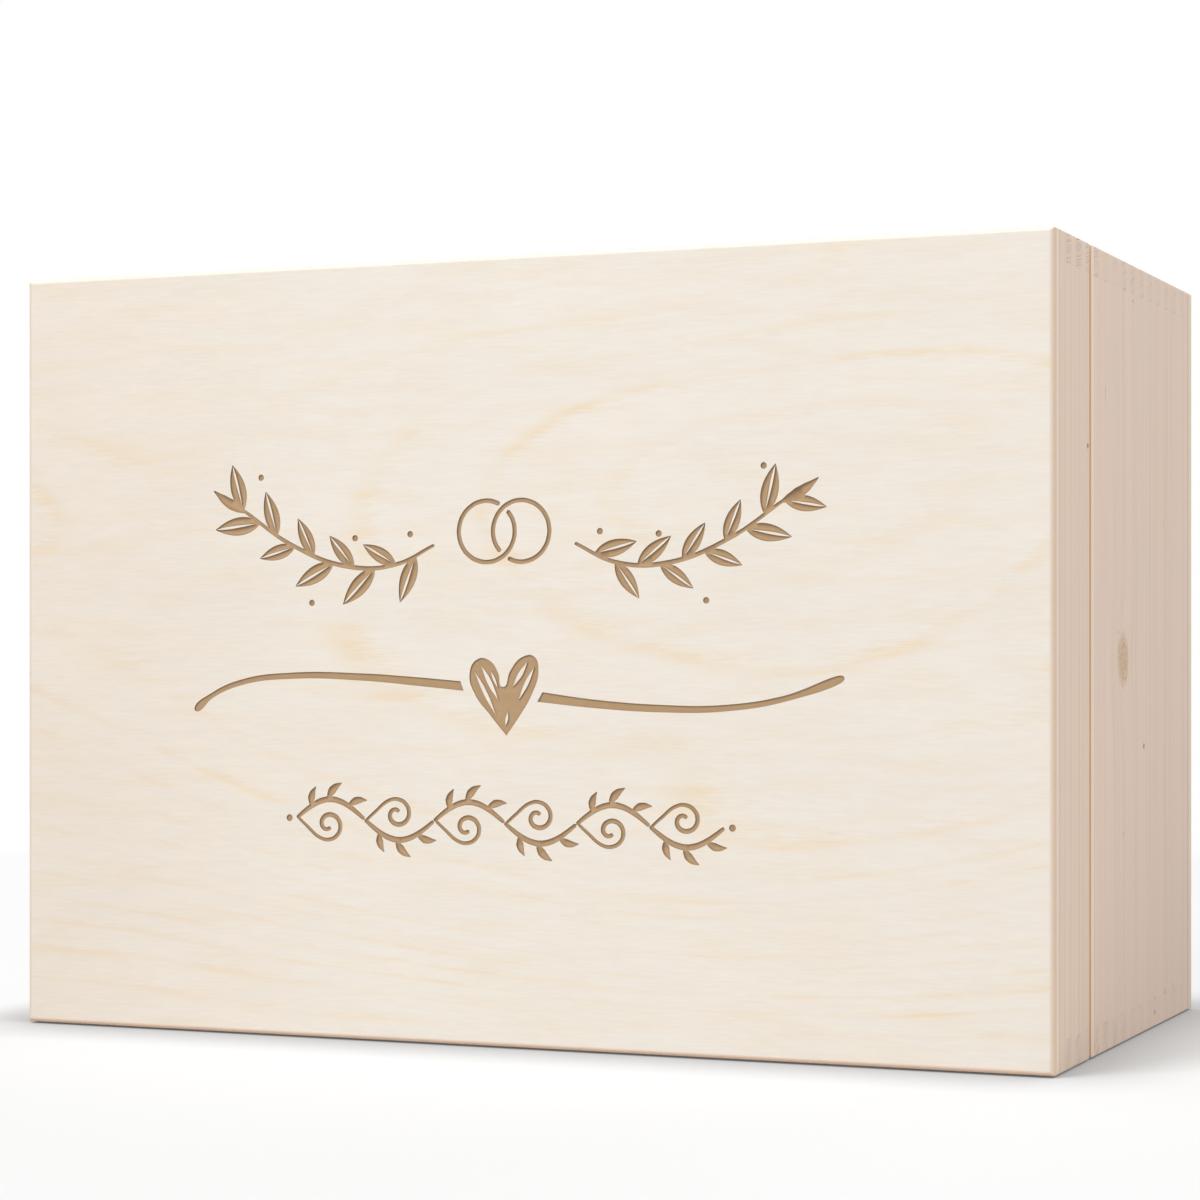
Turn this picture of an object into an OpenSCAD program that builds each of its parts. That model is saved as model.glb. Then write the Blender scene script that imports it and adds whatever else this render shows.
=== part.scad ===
// Keepsake box: a finger-jointed wooden box whose hinged lid was sawn off the
// glued-up carcass. It stands on its front wall, with the lid facing -Y.
// X runs along the width, Y from the lid's face to the base, Z up the height.
// The origin is the centre of the footprint that the box stands on.

/* [Box] */
// Outer width of the box
box_w = 350; // [280:1:440]
// Outer depth of the closed box, from the lid's face to the base's face
box_d = 190; // [150:1:240]
// Outer height of the box as it stands on its front wall
box_h = 247; // [200:1:310]

/* [Boards] */
// Thickness of the solid wood boards
wall_t = 9; // [7.5:0.5:12]
// Thickness of the plywood panels
panel_t = 7.5; // [4:0.5:10]
// Chamfer round the outer face of each panel
panel_chamfer = 0.9; // [0.3:0.1:2]
// Chamfer along the outer edges of the two rims that meet at the seam
rim_chamfer = 1.3; // [0.2:0.1:2]
// Width that the joint fingers are cut to, before they are evened out
finger_w = 6.1; // [5:0.1:12]

/* [Lid] */
// Depth of the lid, with its panel
lid_d = 43.5; // [30:0.5:60]
// Gap between the rims of the closed lid and the body
seam_gap = 0.7; // [0.2:0.1:1.2]
// Width of the saw cut that parted the lid from the body
saw_kerf = 3.2; // [1.2:0.1:4]

/* [Hinges] */
// Length of each hinge along the seam
hinge_l = 40; // [30:1:60]
// Distance from a side of the box to the nearer end of a hinge
hinge_inset = 55; // [20:1:70]
// Reach of each leaf from the hinge pin's axis
leaf_w = 13; // [10.5:0.5:16]
// Thickness of the leaf plate
leaf_t = 1; // [0.8:0.1:1.5]
// Radius of the leaves' outer corners
leaf_corner_r = 2; // [0.5:0.1:3]
// Outer diameter of the knuckles
knuckle_d = 4.2; // [3.5:0.1:5.2]
// Number of knuckles on a hinge, shared by its two leaves
knuckle_n = 5; // [3:2:7]
// Diameter of the hinge pin
pin_d = 2; // [1.5:0.1:2.5]
// Length of the riveted head on each end of the pin
pin_head_l = 0.8; // [0.4:0.1:1.5]

/* [Screws] */
// Diameter over the threads of the hinge screws
screw_d = 2.4; // [2:0.1:3]
// Length of the hinge screws, with the head
screw_l = 8; // [6:0.5:8]
// Diameter of the countersunk screw heads
screw_head_d = 4.4; // [3.6:0.1:5.4]
// Distance from the ends of a leaf to its screws
screw_inset = 8; // [5:0.5:10]
// Distance from the outer edge of a leaf to its screws
screw_margin = 5.2; // [4:0.1:6]

/* [Clearances] */
// Radial clearance round the pin in the knuckles' bores
pin_clearance = 0.04; // [0.02:0.01:0.08]
// Radial clearance round the screws in their holes
screw_clearance = 0.05; // [0.02:0.01:0.1]
// Free length between neighbouring knuckles
knuckle_gap = 0.3; // [0.2:0.05:0.5]
// Clearance from the knuckles to the wood and to the other leaf's plate
knuckle_clearance = 0.3; // [0.1:0.05:0.6]

/* [Hidden] */

$fn = 48;
overcut = 1;
LEFT = -1;
RIGHT = 1;
LID = -1;
BODY = 1;
PLYWOOD = "#ece2d2";
PINE = "#dccab4";
BRASS = "#c9a458";

// The closed box along Y
face_y = -box_d / 2;
base_y = box_d / 2;
lid_rim_y = face_y + lid_d;
body_rim_y = lid_rim_y + seam_gap;
seam_y = (lid_rim_y + body_rim_y) / 2;

// The carcass as it was glued up, before the saw cut took the kerf out of it
carcass_y = face_y + panel_t;
carcass_d = lid_rim_y - carcass_y + saw_kerf + base_y - panel_t - body_rim_y;
closing_shift = saw_kerf - seam_gap;

// An odd number of equal fingers, so that both ends of a corner are alike
finger_n = 2 * round((carcass_d / finger_w - 1) / 2) + 1;
finger_pitch = carcass_d / finger_n;

// The hinge pins' axis, above the seam on the back wall
axis_z = box_h + knuckle_clearance + knuckle_d / 2;
hinge_x = box_w / 2 - hinge_inset - hinge_l / 2;
knuckle_l = (hinge_l - (knuckle_n - 1) * knuckle_gap) / knuckle_n;
knuckle_step = knuckle_l + knuckle_gap;
plate_near = knuckle_d / 2 + knuckle_clearance;
pin_head_d = (pin_d + knuckle_d) / 2;

// Screws with a 45 degree head, rings for the thread and a pointed end
screw_head_h = (screw_head_d - screw_d) / 2;
screw_point_l = screw_d;
thread_pitch = 1;
thread_depth = 0.25;
recess_w = 0.6;
recess_l = screw_head_d * 0.6;
recess_depth = 0.8;
hole_end_gap = 0.3;

// ---- Wood ----

// Outline of a block from a to b, as wide as low to high, with its corners cut off
function cut_corners(a, b, low, high, cut_a, cut_b) = [
    [a, low + cut_a],
    [a + cut_a, low],
    [b - cut_b, low],
    [b, low + cut_b],
    [b, high - cut_b],
    [b - cut_b, high],
    [a + cut_a, high],
    [a, high - cut_a],
];

// The box's outer shape from y0 to y1, with the edges of its two ends chamfered
module chamfered_block(y0, y1, chamfer_0, chamfer_1) {
    intersection() {
        translate([-box_w / 2, 0, 0])
            rotate([90, 0, 90])
                linear_extrude(box_w)
                    polygon(cut_corners(y0, y1, 0, box_h, chamfer_0, chamfer_1));
        mirror([1, -1, 0])
            linear_extrude(box_h)
                polygon(cut_corners(y0, y1, -box_w / 2, box_w / 2, chamfer_0, chamfer_1));
    }
}

module lid_block() {
    chamfered_block(face_y, lid_rim_y, panel_chamfer, rim_chamfer);
}

module body_block() {
    chamfered_block(body_rim_y, base_y, rim_chamfer, panel_chamfer);
}

// The space of finger k, counted from the lid's end of the carcass, in a board's corner.
// The first and last finger's spaces run on past the carcass.
module finger_space(k, corner, size) {
    before = k == 0 ? overcut : 0;
    after = k == finger_n - 1 ? overcut : 0;
    translate([corner[0], carcass_y + k * finger_pitch - before, corner[1]])
        cube([size[0], finger_pitch + before + after, size[1]]);
}

// A long board of the carcass. Its odd fingers show their end grain on the box's sides.
module long_board(z) {
    difference() {
        translate([-box_w / 2, carcass_y, z])
            cube([box_w, carcass_d, wall_t]);
        for (k = [0:2:finger_n - 1], x = [-box_w / 2 - overcut, box_w / 2 - wall_t])
            finger_space(k, [x, z - overcut], [wall_t + overcut, wall_t + 2 * overcut]);
    }
}

// A side board of the carcass. Its even fingers close the corners.
module side_board(side) {
    x = side == LEFT ? -box_w / 2 : box_w / 2 - wall_t;
    difference() {
        translate([x, carcass_y, 0])
            cube([wall_t, carcass_d, box_h]);
        for (k = [1:2:finger_n - 2], z = [-overcut, box_h - wall_t])
            finger_space(k, [x - overcut, z], [wall_t + 2 * overcut, wall_t + overcut]);
    }
}

// What the saw cut left of a carcass board on the lid's side
module lid_part() {
    intersection() {
        children();
        lid_block();
    }
}

// What it left on the body's side, moved up to the closed lid
module body_part() {
    intersection() {
        translate([0, -closing_shift, 0])
            children();
        body_block();
    }
}

module panel(y) {
    translate([-box_w / 2, y, 0])
        cube([box_w, panel_t, box_h]);
}

module lid_panel() {
    color(PLYWOOD)
        lid_part() panel(face_y);
}

module lid_rail_back() {
    color(PINE)
        difference() {
            lid_part() long_board(box_h - wall_t);
            at_screws(LID) screw_hole();
        }
}

module lid_rail_front() {
    color(PINE)
        lid_part() long_board(0);
}

module lid_rail_side(side) {
    color(PINE)
        lid_part() side_board(side);
}

module base_panel() {
    color(PLYWOOD)
        body_part() panel(base_y - panel_t + closing_shift);
}

module back_wall() {
    color(PINE)
        difference() {
            body_part() long_board(box_h - wall_t);
            at_screws(BODY) screw_hole();
        }
}

module front_wall() {
    color(PINE)
        body_part() long_board(0);
}

module side_wall(side) {
    color(PINE)
        body_part() side_board(side);
}

// ---- Hinges ----

// A leaf's plate at Y > 0, with the pin's axis at Y = 0 and two rounded corners
module leaf_plate() {
    linear_extrude(leaf_t) {
        translate([-hinge_l / 2, plate_near])
            square([hinge_l, leaf_w - leaf_corner_r - plate_near]);
        translate([leaf_corner_r - hinge_l / 2, plate_near])
            square([hinge_l - 2 * leaf_corner_r, leaf_w - plate_near]);
        for (end = [-1, 1])
            translate([end * (hinge_l / 2 - leaf_corner_r), leaf_w - leaf_corner_r])
                circle(r = leaf_corner_r);
    }
}

// Knuckle k, counted from the hinge's left end, with the tongue that holds it to its plate
module knuckle(k) {
    translate([k * knuckle_step - hinge_l / 2, 0, 0]) {
        cube([knuckle_l, plate_near + overcut, leaf_t]);
        translate([0, 0, axis_z - box_h])
            rotate([0, 90, 0])
                cylinder(h = knuckle_l, d = knuckle_d);
    }
}

// The leaf of one hinge that is screwed to the lid or to the body
module leaf(side, part) {
    first = part == BODY ? 0 : 1;
    color(BRASS)
        difference() {
            translate([side * hinge_x, seam_y, box_h])
                mirror([0, part == BODY ? 0 : 1, 0]) {
                    leaf_plate();
                    for (k = [first:2:knuckle_n - 1])
                        knuckle(k);
                }
            translate([side * hinge_x, seam_y, axis_z])
                rotate([0, 90, 0])
                    cylinder(h = hinge_l + 2 * overcut, r = pin_d / 2 + pin_clearance, center = true);
            at_screws(part) screw_hole();
        }
}

module hinge_pin(side) {
    color(BRASS)
        translate([side * hinge_x, seam_y, axis_z])
            rotate([0, 90, 0]) {
                cylinder(h = hinge_l, d = pin_d, center = true);
                for (end = [-1, 1])
                    translate([0, 0, end * (hinge_l + pin_head_l) / 2])
                        cylinder(h = pin_head_l, d = pin_head_d, center = true);
            }
}

// ---- Screws ----

// Puts its children at the leaves' screws on the lid or the body, on top of the plates
module at_screws(part) {
    for (side = [LEFT, RIGHT], end = [-1, 1])
        translate([
            side * hinge_x + end * (hinge_l / 2 - screw_inset),
            seam_y + part * (leaf_w - screw_margin),
            box_h + leaf_t,
        ])
            children();
}

// Countersunk hole for a screw, through the leaf and on into the wood
module screw_hole() {
    shank_r = screw_d / 2 + screw_clearance;
    head_r = screw_head_d / 2 + screw_clearance;
    translate([0, 0, -screw_l - hole_end_gap])
        cylinder(h = screw_l + hole_end_gap, r = shank_r);
    translate([0, 0, -screw_head_h])
        cylinder(h = screw_head_h, r1 = shank_r, r2 = head_r);
    cylinder(h = overcut, r = head_r);
}

// Half profile of a screw in radius and height, from its point up to its flat head
function screw_profile() =
    let (
        core = screw_d / 2 - thread_depth,
        thread_start = screw_point_l - screw_l,
        turns = floor((screw_l - screw_point_l - screw_head_h) / thread_pitch)
    )
    concat(
        [[0, -screw_l], [core, thread_start]],
        [
            for (turn = [0:turns - 1], point = [[0.5, screw_d / 2], [1, core]])
                [point[1], thread_start + (turn + point[0]) * thread_pitch]
        ],
        [[screw_d / 2, -screw_head_h], [screw_head_d / 2, 0], [0, 0]]
    );

module screw() {
    difference() {
        rotate_extrude()
            polygon(screw_profile());
        for (turn = [0, 90])
            rotate([0, 0, turn])
                translate([-recess_l / 2, -recess_w / 2, -recess_depth])
                    cube([recess_l, recess_w, recess_depth + overcut]);
    }
}

module hinge_screws(part) {
    color(BRASS)
        at_screws(part) screw();
}

lid_panel();
lid_rail_back();
lid_rail_front();
lid_rail_side(LEFT);  // lid_rail_left
lid_rail_side(RIGHT);  // lid_rail_right
base_panel();
back_wall();
front_wall();
side_wall(LEFT);  // left_wall
side_wall(RIGHT);  // right_wall
leaf(LEFT, LID);  // hinge_left_lid_leaf
leaf(RIGHT, LID);  // hinge_right_lid_leaf
leaf(LEFT, BODY);  // hinge_left_body_leaf
leaf(RIGHT, BODY);  // hinge_right_body_leaf
hinge_pin(LEFT);  // hinge_left_pin
hinge_pin(RIGHT);  // hinge_right_pin
hinge_screws(LID);  // lid_hinge_screws
hinge_screws(BODY);  // body_hinge_screws
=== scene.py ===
"""Looks of a keepsake box: a finger-jointed softwood box with a laser-engraved plywood lid.

The boards, panels, hinges and screws stand where the frame has them. Every wooden piece is a
copy of its frame node whose arrises are eased as sandpaper leaves them, and it is dressed in
the timber that it is cut from. The lid's face also carries the engraving, which is real depth
in the wood. The hinges are dressed in brass. A plain white studio and a camera go round it.
"""

import logging
import math
from collections.abc import Mapping, Sequence
from dataclasses import dataclass, field, replace
from enum import Enum

import bmesh
import bpy
from mathutils import Euler, Matrix, Vector


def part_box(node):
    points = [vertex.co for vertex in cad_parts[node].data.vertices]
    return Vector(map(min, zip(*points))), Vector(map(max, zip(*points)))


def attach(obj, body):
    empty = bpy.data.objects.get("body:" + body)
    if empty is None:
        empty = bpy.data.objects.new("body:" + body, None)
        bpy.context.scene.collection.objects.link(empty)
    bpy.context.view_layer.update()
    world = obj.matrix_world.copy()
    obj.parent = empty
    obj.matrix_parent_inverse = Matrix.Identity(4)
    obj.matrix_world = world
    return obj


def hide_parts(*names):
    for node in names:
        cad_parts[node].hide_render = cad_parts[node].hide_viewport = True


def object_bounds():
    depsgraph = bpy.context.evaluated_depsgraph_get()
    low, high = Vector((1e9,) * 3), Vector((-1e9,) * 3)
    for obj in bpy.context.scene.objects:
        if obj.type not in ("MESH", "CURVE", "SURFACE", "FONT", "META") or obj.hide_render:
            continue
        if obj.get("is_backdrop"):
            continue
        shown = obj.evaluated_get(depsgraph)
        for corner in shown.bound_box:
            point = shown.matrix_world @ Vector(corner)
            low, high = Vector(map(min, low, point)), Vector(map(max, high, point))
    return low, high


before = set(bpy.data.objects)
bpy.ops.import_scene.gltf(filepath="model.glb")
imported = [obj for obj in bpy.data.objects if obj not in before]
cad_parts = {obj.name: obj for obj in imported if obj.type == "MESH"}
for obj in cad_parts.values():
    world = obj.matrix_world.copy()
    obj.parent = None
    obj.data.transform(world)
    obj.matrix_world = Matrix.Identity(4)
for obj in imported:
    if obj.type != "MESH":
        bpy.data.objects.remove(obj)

log = logging.getLogger("keepsake_box")

MM = 0.001
MM_PER_M = 1000.0
HALF_TURN = math.pi
QUARTER_TURN = math.pi / 2
WHITE = "#ffffff"

Point = tuple[float, float, float]
Place = tuple[float, float]
Settings = Mapping[str, object]
Inputs = Mapping[str | int, object]
Tree = bpy.types.NodeTree

ORIGIN: Point = (0.0, 0.0, 0.0)
ALONG_X: Point = (1.0, 0.0, 0.0)
ALONG_Y: Point = (0.0, 1.0, 0.0)
ALONG_Z: Point = (0.0, 0.0, 1.0)


class Slot(Enum):
    """The record's material slots."""

    PLYWOOD = "plywood"
    PINE = "pine"
    BRASS = "brass"


class Body(Enum):
    """The two bodies that the hinges join."""

    LID = "lid"
    BOX = "body"


class Grain(Enum):
    """The way that a board's fibres run."""

    LEVEL = ALONG_X
    UPRIGHT = ALONG_Z

    @property
    def turn(self) -> Point:
        """Turn that lays the fibres along a pattern's first axis and leaves Y as it is."""
        return (0.0, QUARTER_TURN, 0.0) if self is Grain.UPRIGHT else ORIGIN


# ---- Nodes ----


def linear(colour: str) -> tuple[float, float, float, float]:
    """Turn an sRGB colour such as "#f3ebe0" into the linear one, with alpha, that a socket takes."""
    shares = [int(colour[start:start + 2], 16) / 255 for start in (1, 3, 5)]
    red, green, blue = [s / 12.92 if s <= 0.04045 else ((s + 0.055) / 1.055) ** 2.4 for s in shares]
    return (red, green, blue, 1.0)


class Output:
    """A node's output. Each sum with it adds the node that works it out."""

    def __init__(self, socket: bpy.types.NodeSocket) -> None:
        """Hold the socket."""
        self.socket = socket

    @property
    def tree(self) -> Tree:
        """Tree that the output is in."""
        return self.socket.id_data

    def maths(self, operation: str, *others: "Output | float", clamp: bool = False) -> "Output":
        """Work out one number from this one.

        Args:
            operation: Blender's name of the operation.
            others: Up to two more numbers or outputs that it takes, in order.
            clamp: Whether the result is kept from 0 to 1.

        Returns:
            The output that holds the result.
        """
        settings = {"operation": operation, "use_clamp": clamp}
        return step(self.tree, "ShaderNodeMath", settings, dict(enumerate((self, *others))))

    def __add__(self, other: "Output | float") -> "Output":
        """This number plus another."""
        return self.maths("ADD", other)

    def __sub__(self, other: "Output | float") -> "Output":
        """This number less another."""
        return self.maths("SUBTRACT", other)

    def __rsub__(self, other: float) -> "Output":
        """A plain number less this one."""
        return step(self.tree, "ShaderNodeMath", {"operation": "SUBTRACT"}, {0: other, 1: self})

    def __mul__(self, other: "Output | float") -> "Output":
        """This number times another."""
        return self.maths("MULTIPLY", other)

    def __truediv__(self, other: "Output | float") -> "Output":
        """This number over another."""
        return self.maths("DIVIDE", other)

    def __abs__(self) -> "Output":
        """This number without its sign."""
        return self.maths("ABSOLUTE")

    def scaled(self, factor: "Output | float", offset: "Output | float") -> "Output":
        """This number times a factor, plus an offset."""
        return self.maths("MULTIPLY_ADD", factor, offset)

    def bell(self) -> "Output":
        """A bell's height, where this number is the square of the distance from its middle."""
        return (self * -1.0).maths("EXPONENT")

    def eased(self, low: float, high: float) -> "Output":
        """Rise softly from 0 to 1 as this number goes from low to high."""
        inputs = {"Value": self, "From Min": low, "From Max": high}
        return step(self.tree, "ShaderNodeMapRange", {"interpolation_type": "SMOOTHSTEP"}, inputs)

    def ramped(self, stops: Sequence[Place]) -> "Output":
        """Read a number off a profile of straight lines, through places from 0 to 1 with their values."""
        node = add_node(self.tree, "ShaderNodeValToRGB", inputs={0: self})
        points = node.color_ramp.elements
        while len(points) < len(stops):
            points.new(0.5)
        for point, (place, level) in zip(points, stops):
            point.position = place
        for point, (place, level) in zip(points, stops):
            point.color = (level, level, level, 1.0)
        return Output(node.outputs["Color"])

    def lot(self) -> "Output":
        """A random number from 0 to 1 for each whole number."""
        return step(self.tree, "ShaderNodeTexWhiteNoise", {"noise_dimensions": "1D"}, {"W": self})

    def blend(self, first: "Output | str", second: "Output | str") -> "Output":
        """Blend two colours, with this number as the second one's share."""
        colours = [linear(colour) if isinstance(colour, str) else colour for colour in (first, second)]
        inputs = {0: self, 6: colours[0], 7: colours[1]}
        return Output(add_node(self.tree, "ShaderNodeMix", {"data_type": "RGBA"}, inputs).outputs[2])

    def mix_surfaces(self, first: "Output", second: "Output") -> "Output":
        """Mix two shaders, with this number as the second one's share."""
        return step(self.tree, "ShaderNodeMixShader", inputs={0: self, 1: first, 2: second})

    def vector(self, operation: str, *others: "Output | Point") -> "Output":
        """Work on this vector. The result is a number for a length or a dot product, else a vector."""
        inputs = dict(enumerate((self, *others)))
        node = add_node(self.tree, "ShaderNodeVectorMath", {"operation": operation}, inputs)
        return Output(node.outputs["Value" if operation in ("LENGTH", "DOT_PRODUCT") else "Vector"])

    def shaded(self, tone: "Output") -> "Output":
        """This colour made darker or lighter by a factor."""
        return step(self.tree, "ShaderNodeVectorMath", {"operation": "SCALE"}, {0: self, "Scale": tone})

    def facing(self, axis: Point) -> "Output":
        """How squarely this normal lies along an axis, either way."""
        return abs(self.vector("DOT_PRODUCT", axis))

    def parts(self) -> "list[Output]":
        """X, Y and Z of this vector."""
        node = add_node(self.tree, "ShaderNodeSeparateXYZ", inputs={0: self})
        return [Output(part) for part in node.outputs]

    def noise(self, cell: Point, detail: float, seed: float, kind: str | int = 0) -> "Output":
        """Cloudy variation over this place.

        Args:
            cell: Size of a cell along each axis, in the place's units.
            detail: Number of finer layers.
            seed: Slice of the pattern, so that two boards differ.
            kind: Output of the noise node that is read: the first is a number from 0 to 1.

        Returns:
            The output that holds the variation.
        """
        scaled = self.vector("MULTIPLY", tuple(1 / size for size in cell))
        inputs = {"Vector": scaled, "W": seed, "Scale": 1.0, "Detail": detail, "Roughness": 0.55}
        node = add_node(self.tree, "ShaderNodeTexNoise", {"noise_dimensions": "4D"}, inputs)
        return Output(node.outputs[kind])


def add_node(
    tree: Tree, kind: str, settings: Settings | None = None, inputs: Inputs | None = None
) -> bpy.types.Node:
    """Add a node with its settings, and fill or link its inputs.

    Args:
        tree: Tree that the node goes in.
        kind: Blender's identifier of the node.
        settings: Properties of the node itself.
        inputs: A value, or the output to link, for each input by its name or number.

    Returns:
        The new node.
    """
    node = tree.nodes.new(kind)
    for key, value in (settings or {}).items():
        setattr(node, key, value)
    for key, value in (inputs or {}).items():
        if isinstance(value, Output):
            tree.links.new(value.socket, node.inputs[key])
        else:
            node.inputs[key].default_value = value
    return node


def step(
    tree: Tree, kind: str, settings: Settings | None = None, inputs: Inputs | None = None
) -> Output:
    """Add a node and return its first output."""
    return Output(add_node(tree, kind, settings, inputs).outputs[0])


def combined(tree: Tree, *parts: Output | float) -> Output:
    """Join up to three numbers into a vector."""
    return step(tree, "ShaderNodeCombineXYZ", inputs=dict(enumerate(parts)))


# ---- Finishes ----


@dataclass(frozen=True)
class Finish:
    """A finish that is made into one material the first time that it is asked for."""

    name: str

    def shader(self, tree: Tree) -> Output:
        """Build the finish's nodes and return its surface shader."""
        raise NotImplementedError

    def material(self) -> bpy.types.Material:
        """Return the finish's material, and make it if there is none yet."""
        known = bpy.data.materials.get(self.name)
        if known is not None:
            return known
        made = bpy.data.materials.new(self.name)
        made.use_nodes = True
        made.node_tree.nodes.clear()
        surface = self.shader(made.node_tree)
        add_node(made.node_tree, "ShaderNodeOutputMaterial", inputs={"Surface": surface})
        return made


def pattern_place(tree: Tree, slide: float = 0.0, turn: Point = ORIGIN) -> tuple[Output, Output, Output]:
    """Find the place on an object that a pattern is drawn from.

    Args:
        tree: Tree that the nodes go in.
        slide: How far the pattern is slid along Y, in millimetres.
        turn: Turn of the pattern, in radians.

    Returns:
        The place in metres, the face's normal, and the place in the pattern in millimetres.
    """
    found = add_node(tree, "ShaderNodeTexCoord").outputs
    place = Output(found["Object"])
    inputs = {"Vector": place, "Location": (0.0, slide, 0.0), "Rotation": turn, "Scale": (MM_PER_M,) * 3}
    return place, Output(found["Normal"]), step(tree, "ShaderNodeMapping", inputs=inputs)


def solid(colour: Output, relief: Output, strength: float, depth: float, look: Settings) -> Output:
    """Shader of a solid material with fine relief.

    Args:
        colour: Its colour.
        relief: Height of the relief, from 0 to 1.
        strength: How strongly the relief shows, from 0 to 1.
        depth: Depth of the relief, in metres.
        look: Further inputs of the shader by their names, such as its roughness.

    Returns:
        The output that holds the shader.
    """
    bump = {"Strength": strength, "Distance": depth, "Height": relief}
    inputs = {"Base Color": colour, "Normal": step(colour.tree, "ShaderNodeBump", inputs=bump), **look}
    return step(colour.tree, "ShaderNodeBsdfPrincipled", inputs=inputs)


@dataclass(frozen=True)
class Knot:
    """A knot in a board: where a branch began, with the growth rings flowing round it."""

    along: float
    across: float
    length: float
    width: float
    strength: float = 1.0


@dataclass(frozen=True)
class Speck:
    """A small dark mark, such as a pin knot, a resin fleck or a dab of glue."""

    along: float
    across: float
    length: float
    width: float
    strength: float = 0.6
    colour: str = "#8d6c55"


def spot(board: Output, mark: Knot | Speck, reach: float = 1.0) -> Output:
    """Distance from a mark on a board: 0 in its middle, and 1 where its size times the reach ends.

    The place on the board is in millimetres, with the fibres along the first axis.
    """
    length, width = mark.length * reach, mark.width * reach
    middle = (-mark.along * 2 / length, -mark.across * 2 / width, 0.0)
    inputs = {"Vector": board, "Location": middle, "Scale": (2 / length, 2 / width, 0.0)}
    return step(board.tree, "ShaderNodeMapping", inputs=inputs).vector("LENGTH")


@dataclass(frozen=True)
class PineTimber(Finish):
    """Solid pine or spruce, planed and sanded, raw.

    The rings are cylinders round the tree's pith, so that one pattern gives the straight
    lines on a board's faces, the arches where it is cut flat and the rings on its end grain.
    The eye sees a pale pinkish wood with faint lines, and darker, greyer end grain.
    """

    grain: Grain = Grain.UPRIGHT
    # Place of the pith in millimetres: along Y, and along the third axis once turned
    pith: Place = (-260.0, 60.0)
    # Millimetres that the pattern is slid along Y, so that it runs on over the saw cut
    slide: float = 0.0
    ring_spacing: float = 2.7
    # How dark the wood is over a year's growth: it darkens slowly and ends sharply
    year: tuple[Place, ...] = ((0.0, 0.0), (0.35, 0.08), (0.82, 0.85), (0.92, 1.0), (1.0, 0.0))
    sway: float = 8.0
    # Y of the board's saw-cut face in millimetres, where the seam's gap lies
    saw_cut: float = -50.8
    early_wood: str = "#f2dccb"
    late_wood: str = "#e2c8b3"
    end_early: str = "#efd9c8"
    end_late: str = "#b9a08d"
    end_strength: float = 1.4
    # Painted shade: the seam's gap next to the saw cut is drawn darker in the wood's colour
    gap_shade_colour: str = "#d7ab84"
    # Painted highlight: paler wood on the body's rim chamfer and next to it
    rim_highlight_colour: str = "#ffe9d6"
    rim_highlight_share: float = 0.0
    # Millimetres from the cut that the painted gap shade covers
    gap_shade_width: float = 0.25
    knot_wood: tuple[str, str] = ("#e5c7a8", "#c09a77")
    knots: tuple[Knot, ...] = ()
    specks: tuple[Speck, ...] = ()
    seed: float = 0.0

    def shader(self, tree: Tree) -> Output:
        """Build the timber's nodes and return its surface shader."""
        place, normal, board = pattern_place(tree, self.slide, self.grain.turn)
        late = self.late_wood_share(board)
        streaks = board.noise((45.0, 0.55, 0.55), 3.0, self.seed + 3.1)
        side = self.with_painted_seam(place, normal, self.side_colour(board, late, streaks))
        end_share = normal.facing(self.grain.value).eased(0.55, 0.9)
        colour = end_share.blend(side, self.end_colour(board, late))
        look = {"Roughness": streaks.scaled(0.16, 0.56), "Specular IOR Level": 0.3}
        return solid(colour, streaks.scaled(0.75, late * 0.25), 0.35, 0.06 * MM, look)

    def late_wood_share(self, board: Output) -> Output:
        """Share of dark late wood at a place: it rises over a year and stops sharply."""
        drift = board.noise((240.0, 60.0, 60.0), 1.0, self.seed, "Color")
        centred = drift.vector("SUBTRACT", (0.5, 0.5, 0.5))
        moved = centred.vector("MULTIPLY_ADD", (0.0, self.sway, self.sway), board)
        from_pith = moved.vector("SUBTRACT", (0.0, *self.pith)).vector("MULTIPLY", (0.0, 1.0, 1.0))
        years = from_pith.vector("LENGTH") / self.ring_spacing
        for knot in self.knots:
            swell = spot(board, knot, 1.9).maths("POWER", 2.0).bell()
            years = swell.scaled(2.6 * knot.strength, years)
        along_years = combined(board.tree, years * 0.37)
        inputs = {"Vector": along_years, "W": self.seed + 11.0, "Scale": 1.0, "Detail": 1.0}
        uneven = step(board.tree, "ShaderNodeTexNoise", {"noise_dimensions": "4D"}, inputs)
        years = uneven.scaled(5.5, years)
        line = years.maths("FRACT").ramped(self.year)
        return line * years.maths("FLOOR").lot().scaled(0.9, 0.1)

    def side_colour(self, board: Output, late: Output, streaks: Output) -> Output:
        """Colour of a board's long faces, from the share of late wood and the fine streaks."""
        clouds = board.noise((160.0, 22.0, 22.0), 2.0, self.seed + 7.7)
        shown = late.maths("MULTIPLY", clouds.eased(0.3, 0.68).scaled(0.85, 0.15), clamp=True)
        tone = streaks.scaled(0.17, 0.915) * clouds.scaled(0.1, 0.95)
        shade = shown.blend(self.early_wood, self.late_wood).shaded(tone)
        for knot in self.knots:
            shade = self.with_knot(board, knot, shade)
        for speck in self.specks:
            share = spot(board, speck).eased(1.3, 0.3) * speck.strength
            shade = share.blend(shade, speck.colour)
        return shade

    def with_painted_seam(self, place: Output, normal: Output, wood: Output) -> Output:
        """Colour of the wood with painted shade in the seam's gap at the saw cut, and on the body a painted
        highlight over the next few millimetres.

        The place is in metres, and the wood's own colour holds further off.
        """
        off = abs(place.parts()[1] - self.saw_cut * MM)
        rim_highlight = off.eased(4.2 * MM, 3.0 * MM) * self.rim_highlight_share
        brown = off.eased((self.gap_shade_width + 0.2) * MM, self.gap_shade_width * MM)
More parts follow.
